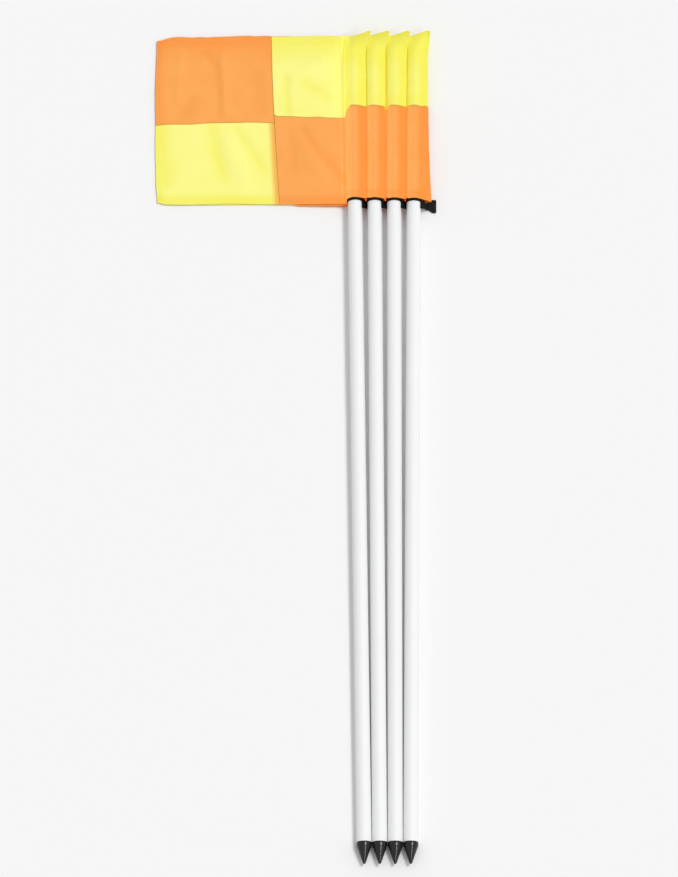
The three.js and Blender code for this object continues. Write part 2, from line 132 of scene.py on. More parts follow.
def panel_corners(node):
    """Corners of a panel as [[near low, far low], [near high, far high]], at mid thickness."""
    points = node_points(node)
    found = []
    for sides in ((1, -1), (-1, -1), (1, 1), (-1, 1)):
        reach = points[:, :2] @ sides
        here = points[reach > reach.max() - SAME_PLACE]
        found.append(here.mean(axis=0))
    return np.array(found).reshape(2, 2, 3)


# %% Places along a flag
BORE_RADIUS, POLE_RADIUS, POLE_START, POLE_END = reach_and_span("pole")
CAP_START, CAP_TOP = reach_and_span("pole_cap")[2:]
SHANK_END = reach_and_span("ground_spike")[3]
SLEEVE_START = reach_and_span("sleeve_lower")[2]
SLEEVE_SEAM, TOP_SEAM = reach_and_span("sleeve_upper")[2:]
HEM = in_axes(FREE_FLAG, panel_corners(f"inner_lower_panel_{FREE_FLAG}")[0, 0])[1]
for name, place in (("pole", POLE_START), ("hem", HEM), ("seam", SLEEVE_SEAM), ("top", TOP_SEAM)):
    print(f"{name} starts {place / MM:.1f} mm from the tip")

# %% [markdown]
# ## One way to make a mesh
#
# Almost every part here is a stack of loops: rings round a pole, sections of a sleeve, rows of
# points across a banner. One function turns such a stack into a mesh. It can close each loop, fill
# the first and last one, or run the stack back into itself as a tube's wall does. It also writes
# the flat place of each point as a UV map, in metres, so that a weave can follow the cloth.

# %% Stack of loops to mesh
FLAT_MAP = "flat"
CLOTH_THICK = 0.35 * MM


def corners_of(grid):
    """The four corners of every cell of a grid, cell by cell."""
    cells = [grid[:-1, :-1], grid[:-1, 1:], grid[1:, 1:], grid[1:, :-1]]
    return np.stack(cells, axis=2).reshape(-1, 4, *grid.shape[2:])


def linked(name, data):
    """A new object for a mesh, lamp or camera, in the scene."""
    made = bpy.data.objects.new(name, data)
    bpy.context.scene.collection.objects.link(made)
    return made


def meshed(name, points, faces):
    """A new smooth object with these points and faces."""
    mesh = bpy.data.meshes.new(name)
    mesh.from_pydata(points.reshape(-1, 3).tolist(), [], faces)
    mesh.polygons.foreach_set("use_smooth", [True] * len(faces))
    return linked(name, mesh)


def skin(name, loops, ring=True, capped=False, wrapped=False, flat=None):
    """An object whose surface runs through loops[i, j], point j of loop i.

    flat holds the place on the flat cloth of each grid point, with one more column where the loops
    are rings, so that the cloth doesn't jump back to nought at the seam.
    """
    rows, columns = loops.shape[:2]
    index = np.arange(rows * columns).reshape(rows, columns)
    if ring:
        index = np.hstack([index, index[:, :1]])
    if wrapped:
        index = np.vstack([index, index[:1]])
    faces = corners_of(index).tolist()
    if capped:
        faces += [index[0, :columns][::-1].tolist(), index[-1, :columns].tolist()]
    made = meshed(name, loops, faces)
    if flat is not None:
        layer = made.data.uv_layers.new(name=FLAT_MAP)
        layer.data.foreach_set("uv", corners_of(flat).reshape(-1).astype(np.float32))
    return made


def outwards(made):
    """Turns the faces of a closed piece so that they all look outwards."""
    bpy.context.view_layer.objects.active = made
    made.select_set(True)
    bpy.ops.object.mode_set(mode="EDIT")
    bpy.ops.mesh.select_all(action="SELECT")
    bpy.ops.mesh.normals_make_consistent(inside=False)
    bpy.ops.object.mode_set(mode="OBJECT")
    made.select_set(False)
    return made


def thickened(made):
    """Gives a sheet of cloth its thickness, half on each side."""
    cloth = made.modifiers.new("cloth", "SOLIDIFY")
    cloth.thickness = CLOTH_THICK
    cloth.offset = 0


def painted(made, **values):
    """Writes numbers for each point of a piece under their names, for its material to read."""
    for name, numbers in values.items():
        layer = made.data.attributes.new(name, "FLOAT", "POINT")
        layer.data.foreach_set("value", np.ravel(numbers).astype(np.float32))


def smooth(start, end, value):
    """0 before start, 1 after end, and an S-shaped rise between them."""
    share = np.clip((value - start) / (end - start), 0, 1)
    return share * share * (3 - 2 * share)


def ramp(start, end, value):
    """smooth() between two places in millimetres, of a value in metres."""
    return smooth(start * MM, end * MM, value)


def ridge(middle, width, value):
    """A bell-shaped bump: exp(-((value - middle) / width)^2)."""
    return np.exp(-(((value - middle) / width) ** 2))


# %% [markdown]
# ## Shader maths as plain sums
#
# A material is a small calculation that Blender draws as boxes and wires. It is easier to read as
# Python: the class below wraps a socket, and each sum on it adds the Math node that does it. Any
# other node comes from one method, which sets the node up and fills its sockets.

# %% Sockets that can be added and multiplied


class Wire:
    """A socket of a material, for use in sums."""

    def __init__(self, finish, socket):
        self.finish = finish
        self.socket = socket

    def __add__(self, other):
        return self.finish.maths("ADD", self, other)

    def __sub__(self, other):
        return self.finish.maths("SUBTRACT", self, other)

    def __rsub__(self, other):
        return self.finish.maths("SUBTRACT", other, self)

    def __mul__(self, other):
        return self.finish.maths("MULTIPLY", self, other)

    __radd__ = __add__
    __rmul__ = __mul__

    def sine(self):
        return self.finish.maths("SINE", self)

    def size(self):
        return self.finish.maths("ABSOLUTE", self)

    def above(self, edge):
        return self.finish.maths("GREATER_THAN", self, edge)


class Finish:
    """A material in the making, with its Principled shader as surface."""

    def __init__(self, name, **fixed):
        self.material = bpy.data.materials.new(name)
        self.material.use_nodes = True
        self.tree = self.material.node_tree
        self.surface = self.tree.nodes["Principled BSDF"]
        for socket, value in fixed.items():
            self.surface.inputs[socket.replace("_", " ")].default_value = value

    def node(self, kind, settings, sockets, output=0):
        """One output of a new node, after its settings and sockets are filled in."""
        made = self.tree.nodes.new("ShaderNode" + kind)
        for key, value in settings.items():
            setattr(made, key, value)
        for key, value in sockets.items():
            if isinstance(value, Wire):
                self.tree.links.new(value.socket, made.inputs[key])
            else:
                made.inputs[key].default_value = value
        return Wire(self, made.outputs[output])

    def maths(self, operation, *values):
        return self.node("Math", {"operation": operation}, dict(enumerate(values)))

    def between(self, share, low, high):
        """A colour between two others."""
        return self.node("Mix", {"data_type": "RGBA"}, {0: share, 6: low, 7: high}, output=2)

    def place(self):
        """The point's place in the model's frame, in metres."""
        return self.node("TexCoord", {}, {}, output=3)

    def paint(self, name):
        """The number that the piece holds under this name."""
        return self.node("Attribute", {"attribute_name": name}, {}, output=2)

    def noise(self, where, scale, stretch=(1, 1, 1), detail=2.0):
        """Cloudy noise from 0 to 1, in cycles per metre, stretched by unequal scales."""
        turned = self.node("Mapping", {}, {"Vector": where, "Scale": stretch})
        return self.node("TexNoise", {}, {"Vector": turned, "Scale": scale, "Detail": detail})

    def bump(self, height, depth, under=None):
        """A bumpy normal, depth metres high, on top of another if there is one."""
        sockets = {"Height": height, "Distance": depth, "Strength": 1.0}
        if under is not None:
            sockets["Normal"] = under
        return self.node("Bump", {}, sockets)

    def shows(self, **links):
        """Links the surface's sockets, and gives the finished material."""
        for socket, wire in links.items():
            self.tree.links.new(wire.socket, self.surface.inputs[socket.replace("_", " ")])
        return self.material


# %% [markdown]
# ## The plastics
#
# The poles are extruded tube: the die leaves very faint lines along them, and handling a few dull
# patches. The spikes are moulded in a glossy black, and the clips in a duller one with a grain.

# %% White extruded plastic and black moulded plastic
WHITE = (0.88, 0.885, 0.89, 1)
WHITE_DULL = (0.81, 0.81, 0.805, 1)
# for each black: shine, its colour whole and rubbed, the scales of grain and rubbing, how fine the
# rubbing is, how rough it is rubbed and whole, and the grain's depth
BLACKS = {
    "spike_plastic": (0.45, (0.006, 0.006, 0.006, 1), (0.018, 0.018, 0.017, 1), 2600, 160, 5.0,
                      0.06, 0.17, 0.002 * MM),
    "clip_plastic": (0.12, (0.003, 0.0035, 0.003, 1), (0.008, 0.008, 0.008, 1), 1500, 220, 4.0,
                     0.2, 0.35, 0.02 * MM),
}


def white_plastic():
    finish = Finish("white_plastic", Specular_IOR_Level=0.22)
    where = finish.place()
    lines = finish.noise(where, 900, stretch=(1, 0.004, 1))
    patches = finish.noise(where, 14, detail=4.0)
    specks = finish.noise(where, 420, detail=1.0).above(0.74)
    return finish.shows(
        Base_Color=finish.between(patches * 0.35 + specks * 0.3, WHITE, WHITE_DULL),
        Roughness=patches * 0.16 + lines * 0.08 + 0.34,
        Normal=finish.bump(lines, 0.015 * MM),
    )


def black_plastic(name):
    shine, black, worn, grain_scale, rub_scale, detail, rubs, rough, depth = BLACKS[name]
    finish = Finish(name, Specular_IOR_Level=shine)
    grain = finish.noise(finish.place(), grain_scale)
    rubbed = finish.noise(finish.place(), rub_scale, detail=detail)
    return finish.shows(
        Base_Color=finish.between(rubbed, black, worn),
        Roughness=rubbed * rubs + rough,
        Normal=finish.bump(grain, depth),
    )


WHITE_PLASTIC = white_plastic()
SPIKE_PLASTIC, CLIP_PLASTIC = (black_plastic(name) for name in BLACKS)

# %% [markdown]
# ## The cloth
#
# Thin woven polyester lets some light through, so it looks pale where something white lies right
# behind it, as the pole does, and deeper where it is doubled in a hem. Where it stands clear of
# what lies under it, its deeper colour is partly painted shade. Four numbers on each point say how
# deep the colour is, how much of a seam's other colour shows through, how much painted shade lies
# in a seam's groove or a fold's crease, and how much painted glow, an emission that stands in for
# light through the cloth, lifts the shade. The weave is plain: threads go over and under each other
# like a chessboard.

# %% Orange and yellow cloth
THREAD_PITCH = 0.42 * MM
NO_LIGHT = (0, 0, 0, 1)
# light, deep and under are the cloth's own colours, though deep also serves the painted shade where
# the cloth stands clear or folds; the last colour of each is the painted shade of grooves and
# creases
CLOTH_COLOURS = {
    "orange": {
        "light": (0.975, 0.405, 0.104, 1),
        "deep": (0.950, 0.300, 0.050, 1),
        "under": (0.950, 0.330, 0.060, 1),
        "groove": (0.700, 0.300, 0.050, 1),
    },
    "yellow": {
        "light": (0.975, 0.945, 0.275, 1),
        "deep": (0.905, 0.858, 0.100, 1),
        "under": (0.945, 0.450, 0.085, 1),
        "groove": (0.780, 0.480, 0.090, 1),
    },
}


def cloth(colour):
    shades = CLOTH_COLOURS[colour]
    # the emission is a painted glow, shown as much as each point's through number says
    finish = Finish(f"{colour}_cloth", Sheen_Weight=0.02, Sheen_Roughness=0.45,
                    Specular_IOR_Level=0.15, Emission_Strength=1.0)
    flat = finish.node("UVMap", {"uv_map": FLAT_MAP}, {})
    across, down = (finish.node("SeparateXYZ", {}, {"Vector": flat}, output=i) for i in (0, 1))
    warp = (across * (np.pi / THREAD_PITCH)).sine()
    weft = (down * (np.pi / THREAD_PITCH)).sine()
    over = (warp * weft).above(0.0)
    weave = over * warp.size() + (1 - over) * weft.size()
    warp_slubs = finish.noise(flat, 900, stretch=(1, 0.02, 1))
    weft_slubs = finish.noise(flat, 900, stretch=(0.02, 1, 1))
    slubs = warp_slubs + weft_slubs - 1
    clouds = finish.noise(finish.place(), 26, detail=3.0) - 0.5
    creases = finish.noise(finish.place(), 95, detail=4.0)
    # depth holds the doubled hems and, on sleeve flanks and along folds, painted shade
    depth = finish.paint("depth") + clouds * 0.5 + slubs * 0.2
    tone = finish.between(depth, shades["light"], shades["deep"])
    tone = finish.between(finish.paint("under"), tone, shades["under"])
    # painted shade in seam grooves and fold creases
    tone = finish.between(finish.paint("groove"), tone, shades["groove"])
    crumple = finish.bump(creases, 0.35 * MM)
    return finish.shows(
        Base_Color=tone,
        Roughness=weave * 0.12 + 0.7,
        # painted glow that lifts the shade, standing in for light through the cloth
        Emission_Color=finish.between(finish.paint("through"), NO_LIGHT, tone),
        Normal=finish.bump(weave + slubs * 0.3, 0.05 * MM, under=crumple),
    )


def thread(colour):
    shades = CLOTH_COLOURS[colour]
    finish = Finish(f"{colour}_thread", Specular_IOR_Level=0.35)
    twist = finish.noise(finish.place(), 4000, detail=1.0)
    return finish.shows(
        Base_Color=finish.between(twist, shades["light"], shades["deep"]),
        Roughness=twist * 0.2 + 0.5,
        Normal=finish.bump(twist, 0.03 * MM),
    )


CLOTH = {colour: cloth(colour) for colour in CLOTH_COLOURS}
THREAD = {colour: thread(colour) for colour in CLOTH_COLOURS}

# %% [markdown]
# ## Dressing a part
#
# Each new surface stands for one imported part and moves with the same body, save the pieces beside
# the first flag's stitching, which ride on none. The first flag's other cloth has bodies of its
# own, because its sleeve slides on the pole and its banner lifts.

# %% Material, slot, part and body in one go
def cloth_body(kind, flag):
    """The body of a sleeve or a banner."""
    return f"{kind}_{flag}" if flag == TOP_FLAG else f"flag_{flag}"


def dressed(made, material, node=None, body=None):
    """Gives a piece its material, the part it stands for and the body it rides on."""
    made.data.materials.append(material)
    if node:
        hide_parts(node)
    if body:
        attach(made, body)
    return made


# %% [markdown]
# ## Turned parts: pole, cap and spike
#
# Each of these is one profile spun round the pole's axis. A real moulded edge is never sharp, so
# every corner of a profile is first rounded off, for the highlight that runs along such an edge.

# %% Profiles with rounded corners
ROUND_SIDES = 96


def rounded(profile, radius, steps=5, loop=False):
    """A profile whose corners are cut back by radius and bridged by a quadratic curve.

    Each corner c between neighbours a and b becomes the curve (1-t)^2 p + 2t(1-t) c + t^2 q, with
    p and q the points at radius, or at half the side if that is shorter, from c towards a and b.
    """
    points = np.array(profile, float)
    before = np.roll(points, 1, axis=0)
    after = np.roll(points, -1, axis=0)

    def towards(other):
        way = other - points
        length = np.linalg.norm(way, axis=1, keepdims=True)
        return points + way * np.minimum(radius / length, 0.5)

    t = np.linspace(0, 1, steps)[None, :, None]
    start, middle, end = towards(before)[:, None], points[:, None], towards(after)[:, None]
    curve = (1 - t) ** 2 * start + 2 * t * (1 - t) * middle + t ** 2 * end
    if loop:
        return curve.reshape(-1, 2)
    return np.concatenate([points[:1], curve[1:-1].reshape(-1, 2), points[-1:]])


def spun(name, flag, profile, wrapped=False):
    """A profile of (radius, place along) spun round the pole's axis."""
    turn = np.linspace(0, 2 * np.pi, ROUND_SIDES, endpoint=False)
    radius, along = profile[:, :1], profile[:, 1:]
    ring = [radius * np.cos(turn), along + 0 * turn, radius * np.sin(turn)]
    loops = placed(flag, np.stack(ring, axis=-1))
    return outwards(skin(name, loops, capped=not wrapped, wrapped=wrapped))


# %% [markdown]
# The pole is a tube, so its profile is a closed loop: out along the outside, over the lip, and
# back along the bore. The cap is a shallow dome with a shank. The spike is a blunt cone that
# swells into a collar as wide as the pole; the soft shoulder between them catches the light.

# %% Poles, caps and spikes
LIP = 0.35 * MM
PLUG_RADIUS = BORE_RADIUS - 0.3 * MM
SEAT_GAP = 0.3 * MM
CHAMFER = 1.5 * MM
TUBE = [
    (POLE_RADIUS, POLE_START), (POLE_RADIUS, POLE_END),
    (BORE_RADIUS, POLE_END), (BORE_RADIUS, POLE_START),
]
CAP_BASE = POLE_END + SEAT_GAP
DOME = [
    (POLE_RADIUS * np.cos(turn), CAP_BASE + (CAP_TOP - CAP_BASE) * np.sin(turn))
    for turn in np.linspace(0, np.pi / 2, 14)[1:-1]
]
CAP = [
    (PLUG_RADIUS - CHAMFER, CAP_START), (PLUG_RADIUS, CAP_START + CHAMFER),
    (PLUG_RADIUS, CAP_BASE), (POLE_RADIUS, CAP_BASE), *DOME,
]
COLLAR_END = POLE_START - SEAT_GAP
COLLAR_START = COLLAR_END - 8 * MM
CONE = [(0.25 * MM, 0), (2 * MM, 0.7 * MM), (POLE_RADIUS - 0.9 * MM, COLLAR_START)]
COLLAR = [
    (POLE_RADIUS - 0.7 * MM, COLLAR_START + 0.4 * MM), (POLE_RADIUS, COLLAR_START + 1.3 * MM),
    (POLE_RADIUS, COLLAR_END), (PLUG_RADIUS, COLLAR_END),
    (PLUG_RADIUS, SHANK_END - CHAMFER), (PLUG_RADIUS - CHAMFER, SHANK_END),
]
SPIKE = np.concatenate([rounded(CONE, 1.4 * MM), rounded(COLLAR, LIP)])
TURNED = {
    "pole": ("pole_tube", rounded(TUBE, LIP, loop=True), WHITE_PLASTIC, "white_plastic"),
    "pole_cap": ("pole_dome", rounded(CAP, LIP), WHITE_PLASTIC, "white_plastic"),
    "ground_spike": ("spike", SPIKE, SPIKE_PLASTIC, "black_plastic"),
}

for flag in FLAGS:
    for node, (name, profile, material, slot) in TURNED.items():
        made = spun(f"{name}_{flag}", flag, profile, wrapped=node == "pole")
        dressed(made, material, f"{node}_{flag}", f"flag_{flag}")
print("turned parts", len(TURNED) * len(FLAGS))

# %% [markdown]
# ## The clip
#
# A clip is one moulding: a spring ring round the pole, an arm that runs down to the ground and
# widens there, and a long toe with a raised rim. Ring and arm are a flat bar bent along a line, and
# the toe is a profile drawn out straight. The three are then joined into one skin.

# %% Bars with rounded edges
EDGE = 0.35 * MM


def along_pole(outline, start, end, corner):
    """Loops of a profile of (right, up) points drawn out along the pole, with rounded corners."""
    middle = outline.mean(axis=0)
    turn = np.linspace(0, np.pi / 2, 6)
    near = corner * (1 - np.sin(turn))
    places = np.concatenate([start + near[::-1], end - near])
    inset = 1 - np.concatenate([np.cos(turn)[::-1], np.cos(turn)])
    shrink = inset[:, None, None] * [corner, EDGE]
    eased = outline - np.sign(outline - middle) * shrink
    along = np.broadcast_to(places[:, None, None], eased[..., :1].shape)
    return np.concatenate([eased[..., :1], along, eased[..., 1:]], axis=-1)


def bent_bar(line, thickness, low, high):
    """Loops of a flat bar along a line of (right, up) points.

    low and high say where its two edges lie along the pole, at every point or at each.
    """
    way = np.gradient(line, axis=0)
    way = way / np.linalg.norm(way, axis=1, keepdims=True)
    line = np.concatenate([
        line[:1], line[:1] + way[:1] * EDGE, line[1:-1], line[-1:] - way[-1:] * EDGE, line[-1:],
    ])
    way = np.concatenate([way[:1], way, way[-1:]])
    normal = np.stack([-way[:, 1], way[:, 0]], axis=1)
    low, high = (np.pad(np.broadcast_to(edge, len(line) - 2), 1, "edge") for edge in (low, high))
    half = np.array([thickness / 2, thickness])
    section = rounded(half * [(-1, -1), (1, -1), (1, 1), (-1, 1)], EDGE, loop=True)
    ends = np.zeros(len(line))
    ends[[0, -1]] = EDGE
    eased = section - np.sign(section) * ends[:, None, None]
    across = line[:, None, :] + normal[:, None, :] * eased[..., :1]
    reach = np.sign(section[:, 1]) * ((high - low) / 2 - thickness)[:, None]
    along = (low + high)[:, None] / 2 + eased[..., 1] + reach
    return np.stack([across[..., 0], along, across[..., 1]], axis=-1)


def joined(name, parts):
    """One skin round several closed shapes, by Boolean union."""
    whole = parts[0]
    for part in parts[1:]:
        cut = whole.modifiers.new("join", "BOOLEAN")
        cut.operation = "UNION"
        cut.solver = "EXACT"
        cut.object = part
    bpy.context.view_layer.update()
    seen = whole.evaluated_get(bpy.context.evaluated_depsgraph_get())
    made = linked(name, bpy.data.meshes.new_from_object(seen))
    for part in parts:
        bpy.data.objects.remove(part)
    return made


# %% Clips
TOE_WIDTH = 9 * MM
FREE_CLIP = in_axes(FREE_FLAG, node_points(f"flag_clip_{FREE_FLAG}"))
TOE_FAR = FREE_CLIP[:, 0].max() - 1.2 * MM
TOE_NEAR = TOE_FAR - TOE_WIDTH
TOE_BOTTOM = FREE_CLIP[:, 2].min()
TOE_PLACES = (FREE_CLIP[:, 1].min() + 1 * MM, FREE_CLIP[:, 1].max())
TOE_CORNER = 2.2 * MM
RIM_WIDTH = 1.1 * MM
RIM_HEIGHT = 0.4 * MM
ARM_THICK = 1.6 * MM
ARM_ROOT = 30
ARM_BEND = 4 * MM
ARM_ELBOWS = (
    (17.6 * MM, 0.5 * MM), (19.0 * MM, -9.5 * MM), (28.5 * MM, TOE_BOTTOM + ARM_THICK / 2),
)
# how many millimetres the arm's two edges are from the hem, by how far right of the axis it is
ARM_LOW = ([12 * MM, 17.5 * MM, 19 * MM, 27 * MM, 31 * MM], [-15.2, -13.2, -9.5, -9.5, -12.5])
ARM_HIGH = ([15 * MM, 17.6 * MM, 26 * MM], [-0.4, 3, 7.5])
RING_LINE = POLE_RADIUS + 0.95 * MM
RING_THICK = 1.4 * MM
RING_TURNS = np.linspace(215, -50, 60)
RING_END = SLEEVE_START - SEAT_GAP
RING_PLACES = (RING_END - 6.5 * MM, RING_END)


def on_ring(degrees):
    """A point on the middle line of the clip's ring, as right and up."""
    turn = np.radians(degrees)
    return RING_LINE * np.stack([np.cos(turn), np.sin(turn)], axis=-1)


def hem_height(flag):
    """Height of the pole's axis above the ground where the cloth starts."""
    return placed(flag, np.array([0, HEM, 0]))[2]


def flag_clip(flag):
    arm = [on_ring(ARM_ROOT), *ARM_ELBOWS, (TOE_FAR - ARM_BEND, ARM_ELBOWS[-1][1])]
    arm = rounded(arm, ARM_BEND, steps=9)
    arm_edges = [HEM + np.interp(arm[:, 0], *edge) * MM for edge in (ARM_LOW, ARM_HIGH)]
    low, high = TOE_BOTTOM, TOE_BOTTOM + ARM_THICK
    rim = high + RIM_HEIGHT
    tray = rounded([
        (TOE_NEAR, low), (TOE_FAR, low), (TOE_FAR, rim), (TOE_FAR - RIM_WIDTH, rim),
        (TOE_FAR - RIM_WIDTH, high), (TOE_NEAR + RIM_WIDTH, high), (TOE_NEAR + RIM_WIDTH, rim),
        (TOE_NEAR, rim),
    ], EDGE, loop=True)
    shapes = [
        bent_bar(on_ring(RING_TURNS), RING_THICK, *RING_PLACES),
        bent_bar(arm, ARM_THICK, *arm_edges),
        along_pole(tray, *TOE_PLACES, TOE_CORNER),
    ]
    drop = np.arcsin((hem_height(flag) - hem_height(FREE_FLAG)) / TOE_FAR)
    roll = np.array([
        [np.cos(drop), 0, -np.sin(drop)], [0, 1, 0], [np.sin(drop), 0, np.cos(drop)],
    ])
    parts = [
        outwards(skin(f"clip_part_{i}", placed(flag, loops @ roll), capped=True))
        for i, loops in enumerate(shapes)
    ]
    made = joined(f"spring_clip_{flag}", parts)
    return dressed(made, CLIP_PLASTIC, f"flag_clip_{flag}", f"clip_{flag}")


for flag in FLAGS:
    clip = flag_clip(flag)
print("clip faces", len(clip.data.polygons))

# %% [markdown]
# ## The sleeves
#
# A sleeve is a tube of cloth wider than its pole, so it lies like a rubber band round three pins:
# the pole, the fold at the stitching, and the loose fold on the other side, on the next flag's
# sleeve. Past the pole's end it is pressed flat and sewn shut on a slant.

# %% Arcs and tangents
ON_POLE = POLE_RADIUS + 0.8 * MM
FOLD_ROUND = 0.7 * MM
STITCH_FOLD = (-14.4 * MM, -12.6 * MM)
# points on the cloth over the pole, in the stitched fold, under the pole and in the loose fold,
# and on the straight run after each
FOLD_POINTS = 9
ARC_POINTS = (49, FOLD_POINTS, 17, FOLD_POINTS)
RUN_POINTS = (9, 5, 7, 15)


def touching(first, second):
    """Direction in which a line drawn round two circles (right, up, radius) touches both."""
    apart = second - first
    length = np.hypot(apart[:, 0], apart[:, 1])
    slant = np.arctan2(apart[:, 1], apart[:, 0])
    return slant - np.arccos((first[:, 2] - second[:, 2]) / length)


def arc(circle, start, end, count):
    """Points on a stretch of each row's circle, anticlockwise from start to end."""
    sweep = (end - start) % (2 * np.pi)
    angle = start[:, None] + sweep[:, None] * np.linspace(0, 1, count)
    around = np.stack([np.cos(angle), np.sin(angle)], axis=-1)
    return circle[:, None, :2] + circle[:, None, 2:] * around


def run(first, second, count):
    """Points between the end of one stretch and the start of the next, without those two."""
    share = np.linspace(0, 1, count + 2)[None, 1:-1, None]
    return first[:, -1:] * (1 - share) + second[:, :1] * share


# %% Where the loose fold lies
RING_ROOM = 1.35 * MM
LEAN = np.radians(150)
FOLD_REACH = ON_POLE + FOLD_ROUND + 1.4 * MM
# how many millimetres the fold keeps off the next flag's sleeve
KEEPS_OFF = {1: 1.3, 2: 3.2, 3: 1.5}
FREE_FOLD = (23.5 * MM, -11 * MM)
HEM_FLARE = (7 * MM, 8 * MM)


def ring_flare(along):
    """How far the hem stands out to clear the clip's ring: all of it at the hem, none 14 mm on."""
    return RING_ROOM * smooth(HEM + 14 * MM, HEM + 2 * MM, along)


def loose_fold(flag, along):
    """Right and up of the loose fold.

    The last flag's hangs free, and the clip's arm holds its hem out and up. The others lie on the
    next sleeve, a little off it, so that they pass it when the flag is drawn out.
    """
    if flag == FREE_FLAG:
        share = np.clip((along - HEM) / (POLE_END - HEM), 0, 1)
        lift = HEM_FLARE[1] * smooth(HEM + 45 * MM, HEM, along)
        return FREE_FOLD[0] + HEM_FLARE[0] * (1 - share) ** 2.2, FREE_FOLD[1] + lift
    axis = np.stack([0 * along, along, 0 * along], axis=1)
    beside = in_axes(flag, placed(flag + 1, axis))
    return (beside[:, 0] - KEEPS_OFF[flag] * MM + FOLD_REACH * np.cos(LEAN),
            beside[:, 2] + FOLD_REACH * np.sin(LEAN))


def sleeve_section(flag, along):
    """Right and up of the cloth round the pole, one row for each place along it."""
    nought = 0 * along
    pins = [
        (nought, nought, ON_POLE + ring_flare(along)),
        (nought + STITCH_FOLD[0], nought + STITCH_FOLD[1], nought + FOLD_ROUND),
        (*loose_fold(flag, along), nought + FOLD_ROUND),
    ]
    post, stitched, loose = (np.stack(pin, axis=1) for pin in pins)
    stops = [post, stitched, post, loose]
    arcs = [
        arc(stop, touching(stops[i - 1], stop), touching(stop, stops[(i + 1) % 4]), ARC_POINTS[i])
        for i, stop in enumerate(stops)
    ]
    runs = [run(arcs[i], arcs[(i + 1) % 4], RUN_POINTS[i]) for i in range(4)]
    return np.concatenate([part for pair in zip(arcs, runs) for part in pair], axis=1)


# 1 on the cloth over the pole, -1 on the cloth under it, turning over at the two folds
TURNS = np.cos(np.linspace(0, np.pi, FOLD_POINTS))
SIDE = np.concatenate([
    np.ones(ARC_POINTS[0] + RUN_POINTS[0]), TURNS,
    -np.ones(RUN_POINTS[1] + ARC_POINTS[2] + RUN_POINTS[2]), -TURNS, np.ones(RUN_POINTS[3]),
])

# %% [markdown]
# Past the pole's end every point moves in a straight line to its place in the shut seam, a
# slanting line that is low by the stitching and high over the next flag. A point's share of the
# way across the open section is its share of that line.

# %% From open to shut
LOW_END = np.array([-14.0, -9.0]) * MM
PEAK_REACH = {1: 32.5 * MM, 2: 29.3 * MM, 3: 28.8 * MM, 4: 28 * MM}
PEAK_RISE = {1: 15.5 * MM, 2: 15 * MM, 3: 15 * MM, 4: 10 * MM}


def shut_section(flag, opened):
    """The points of one open section in the shut seam, on both sides of its slanting line.

    At a share t of the line they stand off it by 0.25 + 2.4t(1-t) mm.
    """
    share = (opened[:, 0] - opened[:, 0].min()) / np.ptp(opened[:, 0])
    way = np.array([PEAK_REACH[flag], PEAK_RISE[flag]]) - LOW_END
    normal = np.array([-way[1], way[0]]) / np.linalg.norm(way)
    swell = 0.25 * MM + 2.4 * MM * share * (1 - share)
    return LOW_END + share[:, None] * way + (SIDE * swell)[:, None] * normal


def sleeve_loops(flag, along):
    """Sections of the sleeve at these places, closing from the pole's end to the top seam."""
    opened = sleeve_section(flag, along)
    closing = np.clip((along - POLE_END) / (TOP_SEAM - POLE_END), 0, 1)
    shut = shut_section(flag, opened[np.argmin(np.abs(along - POLE_END))])
    return opened + (shut - opened) * closing[:, None, None]


# %% [markdown]
# The two colours of a sleeve meet over the pole a little above the banner's own seam, and run down
# to it at the stitching. The cloth is also never quite smooth: soft creases slant over the pole
# and fade where the cloth is held.

# %% Lie of the sleeve
HEM_RISE = 5 * MM
# in millimetres, for each flag: how much higher the crown's peak is than 2 mm under the top seam,
# how far the colours' seam is below its cut over the pole, and how far it rises on the far side
PEAK_LIFT = {1: -1.4, 2: -1.3, 3: -0.3, 4: 4.0}
SEAM_DROP = {1: 3.2, 2: 3.0, 3: 2.4, 4: 2.0}
FAR_RISE = {1: -1.5, 2: -1.5, 3: -1.5, 4: 7}
SEAM_DIP = 10
DIP_STARTS = {1: -4 * MM, 2: -11 * MM, 3: -7 * MM, 4: -12 * MM}


def seam_shift(flag, right):
    """How far the colours' seam runs up the pole, by how far right of the axis it is."""
    dip = SEAM_DIP * smooth(DIP_STARTS[flag], -15 * MM, right)
    far = FAR_RISE[flag] * ramp(10, 22, right)
    return (far - dip - SEAM_DROP[flag]) * MM


def crown_sag(flag, right):
    """How far the top seam falls short of its full height at a share t of the way to its peak.

    It is 5 mm by the stitching and 2 mm at the peak, less the peak's own lift, with a hollow
    4t(1-t) between them that is four times as deep on the top flag, and the corner past the peak
    is rounded off.
    """
    share = np.clip((right - LOW_END[0]) / (PEAK_REACH[flag] - LOW_END[0]), 0, 1)
    hollow = 4 * share * (1 - share) * (4 if flag == TOP_FLAG else 1)
    rise = (3 + PEAK_LIFT[flag]) * share
    return (5 - rise + hollow + 3.8 * smooth(0.87, 1, share)) * MM


def creases(flag, along, turn):
    """Soft waves of the cloth off the pole, in metres, at y metres along and an angle a round it.

    They are 0.16 sin(95y + 2a + p) sin(41y - a + 2p) + 0.06 sin(230y + 5 sin(a + p) + p) mm, with a
    phase p that differs from flag to flag.
    """
    phase = 1.7 * flag
    wave = np.sin(along * 95 + 2.0 * turn + phase) * np.sin(along * 41 - turn + 2 * phase)
    fine = np.sin(along * 230 + 5.0 * np.sin(turn + phase) + phase)
    return (0.16 * wave + 0.06 * fine) * MM


